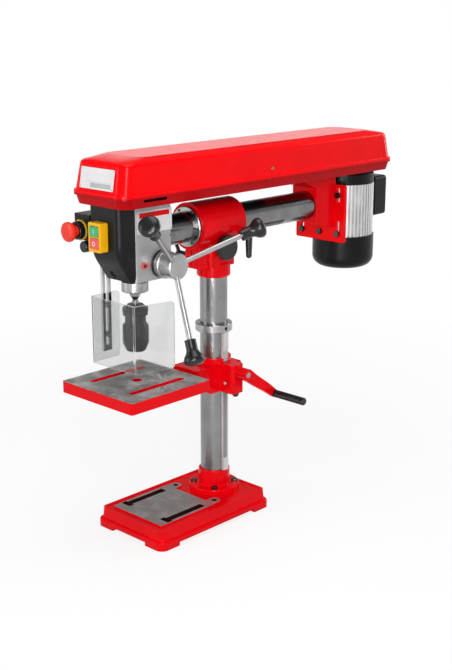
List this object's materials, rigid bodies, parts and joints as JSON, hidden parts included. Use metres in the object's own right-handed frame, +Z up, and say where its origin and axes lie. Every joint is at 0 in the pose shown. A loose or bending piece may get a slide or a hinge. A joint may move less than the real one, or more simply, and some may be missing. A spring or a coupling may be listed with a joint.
{
  "type": "radial drilling machine",
  "caption": "Bench radial drill press: a head on a sliding, tilting ram with a belt drive over it, on a swivelling arm, a round column, a rack-raised table and a cast base.",
  "frame": {"origin": "on the bench surface, on the axis of the column", "axes": "+Z up along the column, -Y to the front where the drill head hangs, +X to the operator's right where the feed levers and the crank are"},
  "size_m": [0.3078, 0.912, 0.81],
  "materials": {
    "red_paint": "gloss enamel over castings and sheet",
    "ground_steel": "ground and polished",
    "plain_steel": "machined",
    "black_oxide": "black oxide",
    "bright_chrome": "polished chrome",
    "silver_paint": "satin silver enamel",
    "black_paint": "satin black",
    "black_plastic": "fine moulded texture",
    "black_rubber": "dull",
    "yellow_plastic": "smooth",
    "red_plastic": "smooth",
    "green_plastic": "smooth",
    "clear_plastic": "clear sheet",
    "cast_aluminium": "satin",
    "motor_iron": "plain"
  },
  "bodies": {
    "base": {"base_casting": "red_paint", "column_flange": "red_paint", "flange_bolts": "black_oxide", "column": "ground_steel"},
    "rack_body": {"rack": "plain_steel", "rack_ring": "ground_steel"},
    "table": {"table_casting": "red_paint"},
    "gear": {"table_gear": "plain_steel"},
    "crank": {"crank_shaft": "plain_steel", "crank_arm": "red_paint"},
    "grip": {"crank_grip": "black_plastic"},
    "table_lock": {"table_lock_lever": "black_oxide"},
    "arm": {"arm_housing": "red_paint"},
    "swivel_lock": {"swivel_lock_lever": "black_oxide"},
    "ram_lock": {"ram_lock_lever": "black_oxide"},
    "ram_drive": {"ram_knob": "black_plastic", "ram_pinion": "plain_steel"},
    "guide": {"guide_bush": "plain_steel"},
    "ram": {"ram": "ground_steel", "head_casting": "silver_paint", "front_cover": "black_plastic", "control_box": "black_plastic", "estop_collar": "yellow_plastic", "switch_box": "yellow_plastic", "depth_pointer": "red_plastic", "spring_cap": "silver_paint", "return_spring": "plain_steel", "belt_pan": "red_paint", "v_belt": "black_rubber", "rear_bracket": "red_paint", "motor_plate": "red_paint", "motor_bolts": "black_oxide", "motor_body": "cast_aluminium", "motor_end_bell": "black_paint", "fan_cover": "black_paint", "terminal_box": "black_plastic"},
    "estop": {"estop_button": "red_plastic"},
    "start": {"start_button": "green_plastic"},
    "stop": {"stop_button": "red_plastic"},
    "guard_post": {"guard_rail": "plain_steel"},
    "guard": {"guard_panel": "clear_plastic", "guard_screws": "plain_steel"},
    "guard_clamp": {"guard_knob": "black_plastic"},
    "feed": {"feed_hub": "bright_chrome", "feed_rods": "bright_chrome", "feed_knobs": "black_plastic"},
    "depth_stop": {"depth_ring": "plain_steel"},
    "quill": {"quill": "ground_steel", "quill_bumper": "black_rubber", "spindle_bearings": "plain_steel"},
    "spindle": {"spindle": "ground_steel", "chuck_body": "black_oxide"},
    "chuck_sleeve": {"chuck_sleeve": "black_oxide"},
    "jaw_1": {"chuck_jaw_1": "plain_steel"},
    "jaw_2": {"chuck_jaw_2": "plain_steel"},
    "jaw_3": {"chuck_jaw_3": "plain_steel"},
    "pulley": {"spindle_pulley": "cast_aluminium"},
    "rotor": {"motor_rotor": "motor_iron", "motor_pulley": "cast_aluminium"},
    "lid": {"belt_lid": "red_paint"}
  },
  "joints": [
    {"name": "table_swing", "type": "hinge", "parent": "base", "child": "rack_body", "pos_m": [0, 0, 0.3], "axis": [0, 0, 1], "continuous": true},
    {"name": "table_lift", "type": "slide", "parent": "rack_body", "child": "table", "axis": [0, 0, -1], "range_m": [-0.03, 0.17]},
    {"name": "crank_turn", "type": "hinge", "parent": "table", "child": "crank", "pos_m": [0.1, 0, 0.326], "axis": [1, 0, 0], "range_deg": [-2300, 13000]},
    {"name": "gear_turn", "type": "hinge", "parent": "table", "child": "gear", "pos_m": [0.0515, 0, 0.301], "axis": [0, 1, 0], "range_deg": [-115, 650]},
    {"name": "grip_spin", "type": "hinge", "parent": "crank", "child": "grip", "pos_m": [0.15, 0.07347, 0.27063], "axis": [1, 0, 0], "continuous": true},
    {"name": "table_lock_turn", "type": "hinge", "parent": "table", "child": "table_lock", "pos_m": [-0.03, 0.057, 0.301], "axis": [1, 0, 0], "range_deg": [-40, 60]},
    {"name": "arm_swivel", "type": "hinge", "parent": "base", "child": "arm", "pos_m": [0, 0, 0.55], "axis": [0, 0, 1], "continuous": true},
    {"name": "swivel_lock_turn", "type": "hinge", "parent": "arm", "child": "swivel_lock", "pos_m": [-0.05, -0.052, 0.578], "axis": [1, 0, 0], "range_deg": [-60, 20]},
    {"name": "ram_lock_turn", "type": "hinge", "parent": "arm", "child": "ram_lock", "pos_m": [0.07, 0.036, 0.629], "axis": [1, 0, 0], "range_deg": [-60, 60]},
    {"name": "ram_tilt", "type": "hinge", "parent": "arm", "child": "guide", "pos_m": [0, 0, 0.646], "axis": [0, 1, 0], "range_deg": [-45, 45]},
    {"name": "ram_slide", "type": "slide", "parent": "guide", "child": "ram", "axis": [0, 1, 0], "range_m": [-0.2, 0.08]},
    {"name": "ram_knob_turn", "type": "hinge", "parent": "arm", "child": "ram_drive", "pos_m": [0.04, -0.015, 0.6], "axis": [-1, 0, 0], "range_deg": [-764, 306]},
    {"name": "estop_push", "type": "slide", "parent": "ram", "child": "estop", "axis": [0, 1, 0], "range_m": [0, 0.004]},
    {"name": "start_push", "type": "slide", "parent": "ram", "child": "start", "axis": [0, 1, 0], "range_m": [0, 0.003], "stiffness_N_per_m": 800, "springref_m": -0.002},
    {"name": "stop_push", "type": "slide", "parent": "ram", "child": "stop", "axis": [0, 1, 0], "range_m": [0, 0.003], "stiffness_N_per_m": 800, "springref_m": -0.002},
    {"name": "guard_swing", "type": "hinge", "parent": "ram", "child": "guard_post", "pos_m": [-0.06, -0.2525, 0.55], "axis": [0, 0, 1], "range_deg": [-100, 0]},
    {"name": "guard_slide", "type": "slide", "parent": "guard_post", "child": "guard", "axis": [0, 0, 1], "range_m": [0, 0.03]},
    {"name": "guard_knob_turn", "type": "hinge", "parent": "ram", "child": "guard_clamp", "pos_m": [-0.064, -0.3, 0.6265], "axis": [0, -1, 0], "range_deg": [-180, 180]},
    {"name": "feed_turn", "type": "hinge", "parent": "ram", "child": "feed", "pos_m": [0.09, -0.195, 0.593], "axis": [1, 0, 0], "range_deg": [0, 360], "stiffness_Nm_per_rad": 0.16, "springref_deg": -183.35},
    {"name": "quill_slide", "type": "slide", "parent": "ram", "child": "quill", "axis": [0, 0, -1], "range_m": [0, 0.055]},
    {"name": "depth_ring_turn", "type": "hinge", "parent": "feed", "child": "depth_stop", "pos_m": [0.055, -0.195, 0.593], "axis": [1, 0, 0], "range_deg": [-170, 170]},
    {"name": "spindle_spin", "type": "hinge", "parent": "quill", "child": "spindle", "pos_m": [0, -0.2265, 0.6], "axis": [0, 0, -1], "continuous": true},
    {"name": "chuck_turn", "type": "hinge", "parent": "spindle", "child": "chuck_sleeve", "pos_m": [0, -0.2265, 0.45], "axis": [0, 0, -1], "range_deg": [0, 300]},
    {"name": "jaw_1_open", "type": "slide", "parent": "spindle", "child": "jaw_1", "axis": [0, 1, 0], "range_m": [0, 0.004]},
    {"name": "jaw_2_open", "type": "slide", "parent": "spindle", "child": "jaw_2", "axis": [-0.866, -0.5, 0], "range_m": [0, 0.004]},
    {"name": "jaw_3_open", "type": "slide", "parent": "spindle", "child": "jaw_3", "axis": [0.866, -0.5, 0], "range_m": [0, 0.004]},
    {"name": "pulley_spin", "type": "hinge", "parent": "ram", "child": "pulley", "pos_m": [0, -0.2265, 0.75], "axis": [0, 0, -1], "continuous": true},
    {"name": "motor_spin", "type": "hinge", "parent": "ram", "child": "rotor", "pos_m": [0, 0.446, 0.65], "axis": [0, 0, -1], "continuous": true},
    {"name": "lid_open", "type": "hinge", "parent": "ram", "child": "lid", "pos_m": [-0.09, 0.1, 0.737], "axis": [0, -1, 0], "range_deg": [0, 100]}
  ],
  "couplings": [
    {"joint": "crank_turn", "follows": "table_lift", "rad_per_m": 1333.3},
    {"joint": "gear_turn", "follows": "table_lift", "rad_per_m": 66.667},
    {"joint": "ram_knob_turn", "follows": "ram_slide", "rad_per_m": 66.667},
    {"joint": "quill_slide", "follows": "feed_turn", "m_per_rad": 0.00875},
    {"joint": "pulley_spin", "follows": "motor_spin", "ratio": 0.68},
    {"joint": "spindle_spin", "follows": "motor_spin", "ratio": 0.68},
    {"joint": "jaw_1_open", "follows": "chuck_turn", "m_per_rad": 0.00076394},
    {"joint": "jaw_2_open", "follows": "chuck_turn", "m_per_rad": 0.00076394},
    {"joint": "jaw_3_open", "follows": "chuck_turn", "m_per_rad": 0.00076394}
  ]
}
